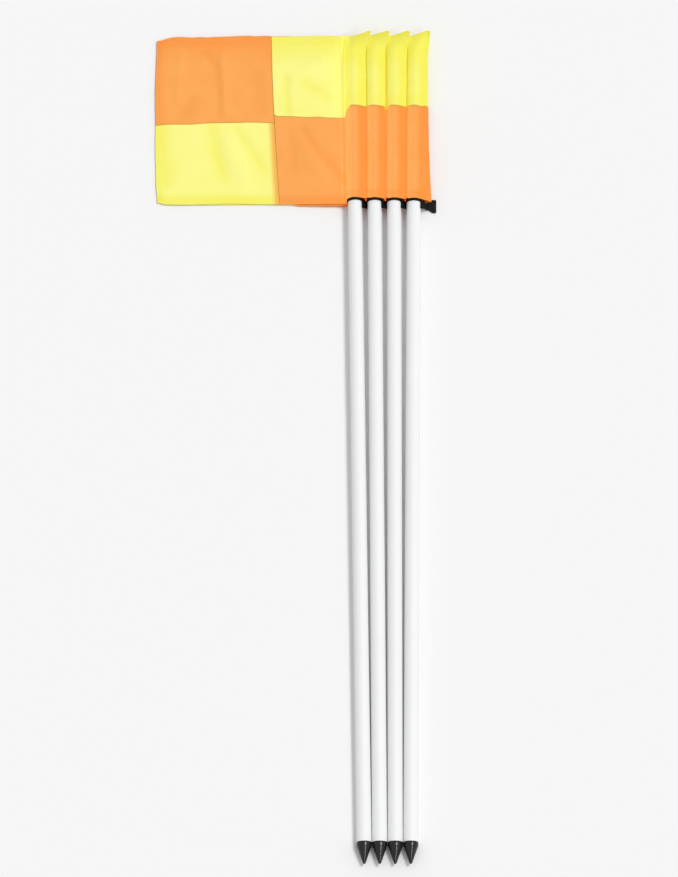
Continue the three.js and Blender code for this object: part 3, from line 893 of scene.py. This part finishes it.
def sleeve_surface(flag, along, fade):
    """Right, along and up of the cloth. fade says how far each row follows the colours' seam."""
    opened = sleeve_loops(flag, along)
    right = opened[..., 0]
    closing = smooth(POLE_END, TOP_SEAM, along)[:, None]
    level = along[:, None] + seam_shift(flag, right) * fade[:, None]
    level = level - crown_sag(flag, right) * closing
    if flag != TOP_FLAG:
        by_hem = smooth(HEM + 45 * MM, HEM, along)[:, None]
        level = level + HEM_RISE * by_hem * ramp(-9, -14, right)
    turn = np.linspace(0, 2 * np.pi, opened.shape[1], endpoint=False)
    free = smooth(HEM, HEM + 25 * MM, along) * smooth(TOP_SEAM, TOP_SEAM - 25 * MM, along)
    radius = np.hypot(opened[..., 0], opened[..., 1])
    push = 1 + creases(flag, level, turn) * free[:, None] / radius
    return np.stack([right * push, level, opened[..., 1] * push], axis=-1), opened


# %% [markdown]
# The colour numbers follow from the shape. The cloth is pale where it touches the pole, and deep
# in the doubled hem and past the pole's end. On the far side, where it stands clear over the valley
# between two sleeves, the deeper colour is partly painted shade; painted shade also lies in the
# seam's groove, and a painted glow lifts the shade on the flank by the stitching.

# %% Sleeves
# how deep the colour is by the stitching, over the pole and on the far side, where it is partly
# painted shade, and between which two places right of the axis (in millimetres) it grows deep on
# the far side
DEPTH_ROUND_POLE = {"orange": (0.20, 0.03, 0.95, -1, 13), "yellow": (0.72, 0.43, 0.95, 1, 16)}
# how strong the painted glow is on the flank by the stitching, which lifts its shade, on the top
# flag and on the others
LEFT_PAINTED_GLOW = {"orange": (0.66, 0.70), "yellow": (0.44, 0.22)}
SLEEVE_HEM = 17 * MM
SEAM_GAP = 0.1 * MM


def sleeve_paint(made, flag, colour, along, surface, opened):
    """A sleeve's four numbers: deeper past the pole's end, above the seam and in the hem, painted
    shade on the far side and in the seam's groove, and painted glow by the stitching.
    """
    right = opened[..., 0]
    by_stitch, on_pole, far, from_here, to_here = DEPTH_ROUND_POLE[colour]
    depth = on_pole + (by_stitch - on_pole) * ramp(-1, -15, right)
    # partly painted shade on the far side, where the cloth stands clear over the valley between
    # sleeves
    depth = depth + (far - on_pole) * smooth(from_here * MM, to_here * MM, right)
    below_top = 0.45 * ramp(50, -4, POLE_END - along)
    by_seam = 0.2 * ridge(SLEEVE_SEAM + 12 * MM, 12 * MM, along)
    in_hem = 0.35 * smooth(HEM + SLEEVE_HEM + 2 * MM, HEM + SLEEVE_HEM - 1 * MM, along)
    depth = np.minimum(depth + (below_top + by_seam + in_hem)[:, None], 0.97)
    to_seam = np.abs(surface[..., 1] - SLEEVE_SEAM - seam_shift(flag, right))
    # painted shade in the groove of the colours' seam
    groove = 0.8 * ramp(2.2, 0.4, to_seam)
    # painted glow on the flank by the stitching, lifting its shade
    painted_glow = LEFT_PAINTED_GLOW[colour][flag != TOP_FLAG] * ramp(-1, -16.5, right)
    painted(made, depth=depth, under=0 * right, groove=groove, through=painted_glow * (SIDE > 0))


def sleeve_part(flag, part, colour, along, fade):
    """One colour of a sleeve, between the first and last of the places along the pole."""
    surface, opened = sleeve_surface(flag, along, fade)
    steps = np.linalg.norm(np.diff(surface, axis=1, append=surface[:, :1]), axis=-1)
    around = np.concatenate([0 * steps[:, :1], np.cumsum(steps, axis=1)], axis=1)
    levels = np.concatenate([surface[..., 1], surface[:, :1, 1]], axis=1)
    flat = np.stack([around, levels], axis=-1)
    made = outwards(skin(f"sleeve_cloth_{part}_{flag}", placed(flag, surface), flat=flat))
    sleeve_paint(made, flag, colour, along, surface, opened)
    thickened(made)
    node = f"sleeve_{part}_{flag}"
    dressed(made, CLOTH[colour], node, cloth_body("sleeve", flag))
    return made


def crowded(start, end, count):
    """Places from start to end, with one more a millimetre inside each end for a crisp seam."""
    inner = np.linspace(start + 2 * MM, end - 2 * MM, count)
    return np.concatenate([[start, start + 1 * MM], inner, [end - 1 * MM, end]])


def sleeve(flag):
    low = crowded(HEM + 1.5 * MM, SLEEVE_SEAM - SEAM_GAP, 84)
    high = crowded(SLEEVE_SEAM + SEAM_GAP, TOP_SEAM, 70)
    sleeve_part(flag, "lower", "orange", low, smooth(SLEEVE_SEAM - 90 * MM, SLEEVE_SEAM, low))
    sleeve_part(flag, "upper", "yellow", high, smooth(SLEEVE_SEAM + 70 * MM, SLEEVE_SEAM, high))


for flag in FLAGS:
    sleeve(flag)
print("sleeves", 2 * len(FLAGS))

# %% [markdown]
# ## The banners
#
# A banner is four panels: orange over yellow at the free edge, yellow over orange by the sleeve.
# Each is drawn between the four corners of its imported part. Soft folds run over it, as on any
# cloth that has been folded away in a bag, and its edges aren't quite straight, because sewn cloth
# pulls a little this way and that.

# %% Folds
PANELS = {
    "outer_upper": "orange", "outer_lower": "yellow",
    "inner_upper": "yellow", "inner_lower": "orange",
}
BANNER_HEIGHT = TOP_SEAM - HEM
INNER_WIDTH = np.ptp(panel_corners(f"inner_lower_panel_{FREE_FLAG}")[0, :, 0])
BANNER_WIDTH = INNER_WIDTH + np.ptp(panel_corners(f"outer_lower_panel_{FREE_FLAG}")[0, :, 0])
SEAM_SHARE = INNER_WIDTH / BANNER_WIDTH

# height and width in millimetres, how much painted shade lies along the fold (below nought, a
# painted lightening along a ridge), and the fold's line as shares across and up the banner
FOLDS = (
    (-0.8, 7, 0.42, [(0.66, 0.52), (0.665, 0.70), (0.675, 0.81), (0.71, 0.87), (0.745, 0.91)]),
    (2.2, 9, -0.20, [(0.63, 0.56), (0.64, 0.88)]),
    (1.3, 9, -0.15, [(0.88, 0.62), (0.87, 0.90)]),
    (-0.8, 11, 0.35, [(0.84, 0.53), (0.81, 0.62)]),
    (-1.0, 14, 0.30, [(0.44, 0.55), (0.45, 0.78)]),
    (-0.8, 15, 0.35, [(0.95, 0.14), (0.96, 0.46)]),
    (-1.0, 12, 0.42, [(0.70, 0.44), (0.68, 0.30), (0.64, 0.16)]),
    (-1.0, 9, 0.36, [(0.57, 0.44), (0.50, 0.31), (0.44, 0.20)]),
    (2.0, 13, -0.15, [(0.62, 0.36), (0.54, 0.14)]),
    (-1.0, 7, 0.42, [(0.31, 0.56), (0.31, 0.75)]),
    (-1.0, 10, 0.32, [(0.21, 0.72), (0.14, 0.67), (0.10, 0.64)]),
    (1.8, 14, -0.10, [(0.25, 0.76), (0.12, 0.84)]),
    (-0.9, 10, 0.30, [(0.29, 0.22), (0.29, 0.42)]),
    (-0.9, 8, 0.42, [(0.225, 0.454), (0.14, 0.31), (0.064, 0.228), (0.01, 0.15)]),
    (2.0, 14, -0.20, [(0.22, 0.32), (0.10, 0.14)]),
    (1.2, 12, -0.15, [(0.09, 0.40), (0.04, 0.32)]),
)
HEIGHTS, FOLD_SHADES = ([fold[column] for fold in FOLDS] for column in (0, 2))
# how many millimetres the top banner stands off the one below
PUFF = 1.1


def distance(here, start, end):
    """Distance of points from the line between two others."""
    way = end - start
    share = np.clip(((here - start) @ way) / (way @ way), 0, 1)
    return np.linalg.norm(here - start - share[..., None] * way, axis=-1)


def fold_sum(amounts, across, up):
    """Sum over the folds of amount * exp(-(d / width)^2), d being the distance to each in mm."""
    scale = np.array([BANNER_WIDTH, BANNER_HEIGHT]) / MM
    here = np.stack([across, up], axis=-1) * scale
    total = np.zeros(across.shape)
    for (_, width, _, line), amount in zip(FOLDS, amounts):
        line = np.array(line) * scale
        away = np.min([distance(here, *ends) for ends in zip(line[:-1], line[1:])], axis=0)
        total += amount * ridge(0, width, away)
    return total


# how each line of the banner strays from straight, in millimetres: what it starts from, its bumps
# (height, place, width) and its steps (height, start, end), in shares of the banner
LINES = {
    "free_edge": (1.2, [(2.4, 0.67, 0.18), (1.6, 0.35, 0.12)], [(-3, 0.12, 0)]),
    "top": (0, [(2.0, 0.52, 0.07), (-2.2, 0.775, 0.07), (-8.5, 1, 0.062), (-1.3, 0, 0.05)], []),
    "inner": (-0.9, [(1.2, 0.14, 0.03), (-1, 0.215, 0.05)], [(-5, 0.36, 0)]),
    "outer": (1.5, [(1.2, 0.5, 0.09)], [(-3.2, 0.68, 0.83), (-2.3, 0.93, 1)]),
    "low": (0, [(3.5, 1, 0.03), (1.2, 0.6, 0.17)], [(-1.4, 0.65, 0.85)]),
}


def strays(name, share):
    """How far a line of the banner strays at a share of the way along it."""
    start, bumps, steps = LINES[name]
    total = start + sum(height * ridge(place, width, share) for height, place, width in bumps)
    return total + sum(height * smooth(first, last, share) for height, first, last in steps)


def drift(across, up):
    """How far the sewn cloth strays sideways and upwards from its cut, at shares across and up.

    The seam between the inner and outer panels leans by 13(1-u)^1.6 - 2 mm at a share u up.
    """
    seam = ridge(SEAM_SHARE, 0.16, across) * (13 * (1 - up) ** 1.6 - 2)
    free_edge = smooth(0.75, 1, across) * strays("free_edge", up)
    middle = np.where(across > SEAM_SHARE, strays("outer", across), strays("inner", across))
    rise = strays("top", across) * smooth(0.7, 1, up) + middle * ridge(0.5, 0.2, up)
    rise = rise + strays("low", across) * smooth(0.3, 0, up)
    return np.stack([seam - free_edge, rise], axis=-1) * MM


# %% [markdown]
# A panel gives its surface at any share across and up it, for the cloth and for the thread on it.
# By the sleeve the cloth is tucked into the fold, and a hem is one more layer thick.

# %% Surface of a panel
# how far the cloth is tucked under the sleeve, right and up
TUCK = (2.6 * MM, 0.7 * MM)
HEM_STEP = 0.3 * MM
# how far the lower banners' hems show under the top one's, beside the sleeve
PEEP = 2.8 * MM
TOP_HEM = 17 * MM
LOW_HEM = 13 * MM


class Panel:
    """One panel of one banner, with its place among the others."""

    def __init__(self, name, flag):
        self.name, self.flag, self.colour = name, flag, PANELS[name]
        self.outer, self.upper = name.startswith("outer"), name.endswith("upper")
        self.corners = panel_corners(f"{name}_panel_{flag}")
        near_low, far_low, near_high = self.corners.reshape(4, 3)[:3]
        self.width = float(np.linalg.norm(far_low - near_low))
        self.height = float(np.linalg.norm(near_high - near_low))
        self.hinged = flag == TOP_FLAG and not self.outer
        self.body = None if self.hinged else cloth_body("banner", flag)

    def shares(self, across, up):
        """Shares of the whole banner, from the stitching and the hem, of a place on the panel."""
        start = SEAM_SHARE if self.outer else 0
        low = 1 - self.height / BANNER_HEIGHT if self.upper else 0
        return start + across * self.width / BANNER_WIDTH, low + up * self.height / BANNER_HEIGHT

    def hem(self, from_hem):
        """How far from the banner's own edge a place is, and 1 where a hem doubles the cloth."""
        width = TOP_HEM if self.upper else LOW_HEM
        from_edge = (1 - from_hem if self.upper else from_hem) * BANNER_HEIGHT
        return from_edge, smooth(width + 1 * MM, width - 1 * MM, from_edge)

    def surface(self, across, up):
        """Points of the panel at shares across it from the sleeve's side and up it."""
        right, rise = across[..., None], up[..., None]
        low, high = (near * (1 - right) + far * right for near, far in self.corners)
        points = low * (1 - rise) + high * rise
        from_stitch, from_hem = self.shares(across, up)
        tuck = smooth(0.03, 0, from_stitch)
        points[..., :2] += drift(from_stitch, from_hem)
        points[..., 0] += TUCK[0] * tuck
        points[..., 2] += TUCK[1] * tuck + HEM_STEP * self.hem(from_hem)[1]
        if self.flag == TOP_FLAG:
            lift = fold_sum(HEIGHTS, from_stitch, from_hem) + PUFF
            held = smooth(0, 0.06, from_stitch) * smooth(0, 0.03, from_hem)
            held = held * smooth(1, 0.97, from_hem) * smooth(1, 0.97, from_stitch)
            points[..., 2] += lift * MM * held
        else:
            peep = smooth(0.2, 0, from_hem) * smooth(0.43, 0.38, from_stitch)
            points[..., 1] -= PEEP * peep
        return points

    def bends(self, made):
        """Bakes the placement of a piece beside the top flag's stitching into its mesh."""
        if self.hinged:
            bodies = cloth_body("sleeve", self.flag), cloth_body("banner", self.flag)
            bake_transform(made)


# %% Panels
CELL = 2.6 * MM
CLOSE_TO_EDGE = 9 * MM
# how much deeper the colour is all over the soft edge, and again on the hem's doubled cloth
HEM_DEPTH = {"orange": (0.50, 0.08), "yellow": (0.66, 0.08)}
# how strong the painted glow is beside the stitching, and more of it in the fold itself; it lifts
# the shadow that the sleeve casts there
STITCH_PAINTED_GLOW = {"orange": (0.34, 0.14), "yellow": (0.05, 0.32)}
# how much of a fold's painted shade shows as deeper colour, and how much as the darker colour of
# painted shade in creases
FOLD_PAINTED_SHADE = {"orange": (0.5, 0.25), "yellow": (1.0, 0.0)}


def fine_steps(length, mark):
    """Shares of a length for grid lines: even cells, and two lines close beside a mark."""
    even = np.linspace(0, 1, int(length / CELL) + 2)
    close = np.array([mark - 1 * MM, mark, mark + 1 * MM]) / length
    ends = np.array([0.6, 1.2]) * MM / length
    steps = np.concatenate([even, close, ends, 1 - ends])
    return np.unique(np.round(np.clip(steps, 0, 1), 5))


def panel_paint(made, panel, across, up):
    """A panel's four numbers: deeper towards the banner's edges and in its hems, painted shade in
    its folds and seams, and painted glow beside the stitching.
    """
    soft, doubled = HEM_DEPTH[panel.colour]
    beside, inside = STITCH_PAINTED_GLOW[panel.colour]
    shade_as_depth, shade_as_crease = FOLD_PAINTED_SHADE[panel.colour]
    from_stitch, from_hem = panel.shares(across, up)
    from_edge, in_hem = panel.hem(from_hem)
    edge = 0.8 * ramp(26, 6, from_edge)
    if panel.upper:
        edge = ramp(66, 2, from_edge)
    free = 0.3 * ramp(26, 4, (1 - from_stitch) * BANNER_WIDTH)
    # painted shade along the folds, as deeper colour and as darker crease colour
    folds = fold_sum(FOLD_SHADES, from_stitch, from_hem)
    depth = 0.1 + soft * edge + doubled * in_hem + free + folds * shade_as_depth
    to_seam = (across if panel.outer else 1 - across) * panel.width
    to_cross_seam = (up if panel.upper else 1 - up) * panel.height
    under = ramp(14, 2, to_seam) * (panel.name == "outer_lower")
    # painted shade in the seams' grooves
    seam = 0.7 * ramp(1.3, 0.2, np.minimum(to_seam, to_cross_seam))
    to_stitch = from_stitch * BANNER_WIDTH
    # painted glow that lifts the shadow the sleeve casts beside the stitching
    painted_glow = beside * ramp(8, 4, to_stitch) + inside * ramp(4, 1.5, to_stitch)
    painted(made, depth=depth, under=under, groove=np.maximum(seam, folds * shade_as_crease), through=painted_glow)


def laid(panel):
    """The cloth of a panel."""
    rows = fine_steps(panel.height, panel.height - TOP_HEM if panel.upper else LOW_HEM)
    edge = panel.width - CLOSE_TO_EDGE if panel.outer else CLOSE_TO_EDGE
    up, across = np.meshgrid(rows, fine_steps(panel.width, edge), indexing="ij")
    flat = np.stack([across * panel.width, up * panel.height], axis=-1)
    name = f"banner_{panel.name}_{panel.flag}"
    made = skin(name, panel.surface(across, up), ring=False, flat=flat)
    panel_paint(made, panel, across, up)
    thickened(made)
    node = f"{panel.name}_panel_{panel.flag}"
    dressed(made, CLOTH[panel.colour], node, panel.body)
    panel.bends(made)
    return made


BANNERS = {flag: [Panel(name, flag) for name in PANELS] for flag in FLAGS}
for banner in BANNERS.values():
    for panel in banner:
        made = laid(panel)
print("panels", len(FLAGS) * len(PANELS), "cells in the last", len(made.data.polygons))

# %% [markdown]
# ## The thread
#
# A stitch is a short bow of thread that dives into the cloth at both ends. The lines of them run
# where a machinist would sew: along each hem, beside each seam, and down the stitching that closes
# the sleeve.

# %% Stitches along a line
STITCH = 2.3 * MM
IN_HEM, BY_SEAM, BY_FREE_EDGE, BY_SLEEVE = 1.6 * MM, 2.0 * MM, 7 * MM, 4.0 * MM
STITCH_STEP = 3.3 * MM
THREAD_RADIUS = 0.17 * MM
# of each loop of a bow: its share of the way, its height and its radius
BOW = np.array([
    (0, -0.1 * MM, 0.3 * THREAD_RADIUS), (0.2, 0.22 * MM, 0.9 * THREAD_RADIUS),
    (0.5, 0.34 * MM, THREAD_RADIUS),
    (0.8, 0.22 * MM, 0.9 * THREAD_RADIUS), (1, -0.1 * MM, 0.3 * THREAD_RADIUS),
])
BOW_SIDES = 6
BOW_FACES = (len(BOW) - 1) * BOW_SIDES + 2
LINE_POINTS = 160
# points of a sleeve's section that a row of stitches follows, from the far side to the stitching
ROW_POINTS = 60


def stitch_row(line, lift):
    """Start, end and way up of stitches evenly spaced along a line of points."""
    lengths = np.linalg.norm(np.diff(line, axis=0), axis=1)
    reached = np.concatenate([[0], np.cumsum(lengths)])
    marks = np.arange(STITCH_STEP, reached[-1] - STITCH_STEP, STITCH_STEP)

    def at(places, values):
        return np.stack([np.interp(places, reached, column) for column in values.T], axis=1)

    return at(marks - STITCH / 2, line), at(marks + STITCH / 2, line), at(marks, lift)


def bows(starts, ends, above):
    """Bows of thread from starts to ends, each a stack of loops."""
    share, arch, thin = BOW.T
    turn = np.linspace(0, 2 * np.pi, BOW_SIDES, endpoint=False)
    way = ends - starts
    side = np.cross(way, above)
    side = side / np.linalg.norm(side, axis=1, keepdims=True)
    middle = starts[:, None] + way[:, None] * share[:, None] + above[:, None] * arch[:, None]
    ring = (side[:, None, None] * np.cos(turn)[:, None]
            + above[:, None, None] * np.sin(turn)[:, None])
    return middle[:, :, None] + ring * thin[:, None, None]


def sewn(name, rows, colour, body):
    """One piece that holds every stitch of these rows, each a line and the way up from it."""
    loops = np.concatenate([bows(*stitch_row(line, lift)) for line, lift in rows])
    index = np.arange(len(BOW) * BOW_SIDES).reshape(len(BOW), BOW_SIDES)
    first = index.size * np.arange(len(loops))[:, None, None]
    quads = corners_of(np.hstack([index, index[:, :1]]))[:, ::-1]
    faces = (quads + first).reshape(-1, 4).tolist()
    faces += (index[0] + first[:, 0]).tolist()
    faces += (index[-1, ::-1] + first[:, 0]).tolist()
    made = outwards(meshed(name, loops, faces))
    return dressed(made, THREAD[colour], body=body)


# %% Where the machine sewed
def line_on_panel(panel, across, up):
    """A line on a panel between two places, in metres, and the way up from it."""
    right = np.linspace(*across, LINE_POINTS) / panel.width
    line = panel.surface(right, np.linspace(*up, LINE_POINTS) / panel.height)
    return line, np.broadcast_to((0.0, 0.0, 1.0), line.shape)


def panel_rows(panel):
    """Every line that the machine sewed on a panel."""
    width, height = panel.width, panel.height
    levels = [height - TOP_HEM + IN_HEM, BY_SEAM] if panel.upper else [LOW_HEM - IN_HEM]
    places = [width - BY_FREE_EDGE, BY_SEAM] if panel.outer else [BY_SLEEVE]
    rows = [line_on_panel(panel, (0, width), (level, level)) for level in levels]
    return rows + [line_on_panel(panel, (place, place), (0, height)) for place in places]


def ring_row(flag, along, fade):
    """A line round the upper side of a sleeve, and the way out from the pole."""
    surface = sleeve_surface(flag, np.array([along]), np.array([fade]))[0][0]
    shown = surface[:ROW_POINTS]
    middle = np.array([0, 1, 0]) * shown
    lift = shown - middle
    lift = lift / np.linalg.norm(lift, axis=1, keepdims=True)
    return placed(flag, shown), lift @ AXES[flag][1]


for flag, banner in BANNERS.items():
    for panel in banner:
        name = f"stitches_{panel.name}_{flag}"
        made = sewn(name, panel_rows(panel), panel.colour, panel.body)
        panel.bends(made)
    low = [ring_row(flag, HEM + SLEEVE_HEM - BY_SEAM, 0)]
    high = [ring_row(flag, SLEEVE_SEAM + BY_SEAM, 1)]
    sewn(f"stitches_sleeve_lower_{flag}", low, "orange", cloth_body("sleeve", flag))
    sewn(f"stitches_sleeve_upper_{flag}", high, "yellow", cloth_body("sleeve", flag))
print("stitches in the last seam", len(made.data.polygons) // BOW_FACES)

# %% [markdown]
# ## Ground, light and camera
#
# The set lies on a white table under a bright even sky. One lamp to its right makes the shadows
# fall softly to the left of each pole, and two faint ones put the glints on the spikes. The camera
# looks down from above the spikes' end.

# %% Ground
scene = bpy.context.scene
GROUND_REACH = 40.0
GROUND_DARK = (0.885, 0.885, 0.885, 1)
GROUND_LIGHT = (0.905, 0.905, 0.905, 1)


def ground():
    corners = GROUND_REACH * np.array([(-1, -1, 0), (1, -1, 0), (1, 1, 0), (-1, 1, 0)])
    made = meshed("ground", corners, [(0, 1, 2, 3)])
    finish = Finish("ground", Roughness=0.9, Specular_IOR_Level=0.1)
    grain = finish.noise(finish.place(), 300)
    colour = finish.between(grain, GROUND_DARK, GROUND_LIGHT)
    made.data.materials.append(finish.shows(Base_Color=colour))
    made.location.z = packed_box[0][2]
    made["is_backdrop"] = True


ground()

# %% Lights
# where each lamp's light comes from, its strength, and its spread in degrees
SUNS = {
    "key": ((0.36, 0.10, 1), 1.02, 8),
    "collar_glint": ((0.49, 0.25, 1), 0.34, 5),
    "cone_glint": ((0.52, -0.74, 1), 0.30, 9),
}
SKY_STRENGTH = 0.56


def sun(name, towards, strength, spread):
    """A sun whose light comes from a direction, with spread in degrees for soft shadows."""
    data = bpy.data.lights.new(name, "SUN")
    data.energy = strength
    data.angle = np.radians(spread)
    made = linked(name, data)
    made.rotation_mode = "QUATERNION"
    made.rotation_quaternion = mathutils.Vector(towards).to_track_quat("Z", "Y")
    made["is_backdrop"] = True


for name, lamp in SUNS.items():
    sun(name, *lamp)
world = bpy.data.worlds.new("sky")
world.use_nodes = True
sky = world.node_tree.nodes["Background"].inputs
sky["Color"].default_value = (1, 1, 1, 1)
sky["Strength"].default_value = SKY_STRENGTH
scene.world = world

# %% Camera
CAMERA_FROM_TIP = np.array([-0.1172, -1.2671, 5.5131])
CAMERA_TILT = np.radians(20)
FOCAL_LENGTH = 141.1
FILM_WIDTH = 36
lens = bpy.data.cameras.new("camera")
lens.lens = FOCAL_LENGTH
lens.sensor_width = FILM_WIDTH
camera = linked("camera", lens)
camera.location = AXES[FREE_FLAG][0] + CAMERA_FROM_TIP
camera.rotation_euler = (CAMERA_TILT, 0, 0)
scene.camera = camera

# %% Picture settings
scene.cycles.diffuse_bounces = 12
scene.cycles.max_bounces = 16
scene.view_settings.view_transform = "Standard"

# %% Finish
boxes = {"packed": packed_box, "dressed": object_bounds()}
boxes = {name: [[float(x) for x in corner] for corner in box] for name, box in boxes.items()}
print(boxes)
